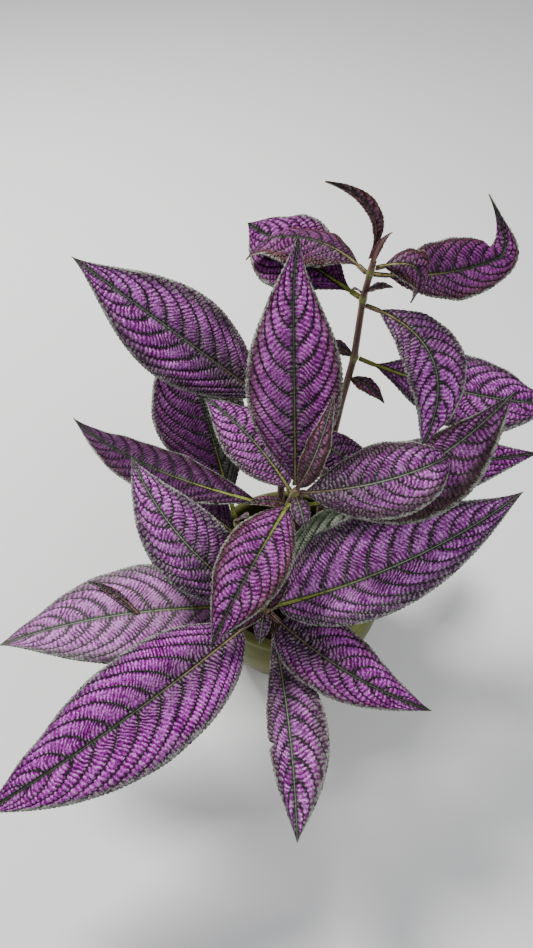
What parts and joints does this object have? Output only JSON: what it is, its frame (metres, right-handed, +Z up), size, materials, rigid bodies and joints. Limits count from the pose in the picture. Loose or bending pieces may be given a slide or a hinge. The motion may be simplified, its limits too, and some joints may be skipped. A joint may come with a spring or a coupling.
{
  "type": "potted persian shield",
  "caption": "Bushy houseplant with quilted purple and silver leaves on upright stems in a round olive green glazed pot.",
  "frame": {"origin": "centre of the flat foot of the pot, on the surface the plant stands on", "axes": "+Z up along the pot, -Y towards the front of the plant, +X to the right seen from the front"},
  "size_m": [0.341, 0.3013, 0.3401],
  "materials": {
    "glaze": "glossy olive green glaze",
    "potting_mix": "matte, dark, crumbly",
    "stem": "satin, brown maroon with olive joints, finely hairy",
    "leaf": "satin, quilted, purple with a silver sheen between dark green veins"
  },
  "bodies": {
    "root": {"pot": "glaze", "soil": "potting_mix", "stem_middle": "stem", "stem_front": "stem", "stem_tall": "stem", "stem_back": "stem", "stem_left": "stem", "leaf_crown_back": "leaf", "leaf_crown_left": "leaf", "leaf_crown_right": "leaf", "leaf_crown_front": "leaf", "leaf_crown_rolled": "leaf", "leaf_left_far": "leaf", "leaf_right_rising": "leaf", "leaf_inner_right": "leaf", "leaf_front_left_big": "leaf", "leaf_right_big": "leaf", "leaf_left_pale": "leaf", "leaf_front_right": "leaf", "leaf_left_silvery": "leaf", "leaf_front_hanging": "leaf", "leaf_top_left_folded": "leaf", "leaf_top_left_under": "leaf", "leaf_top_crescent": "leaf", "leaf_top_curled": "leaf", "leaf_top_right": "leaf", "leaf_top_drooping": "leaf", "leaf_right_far": "leaf", "leaf_right_low": "leaf", "leaf_back_left_big": "leaf", "leaf_back_shaded": "leaf", "leaf_left_dark": "leaf", "leaf_low_left": "leaf", "leaf_low_right": "leaf"}
  },
  "joints": []
}
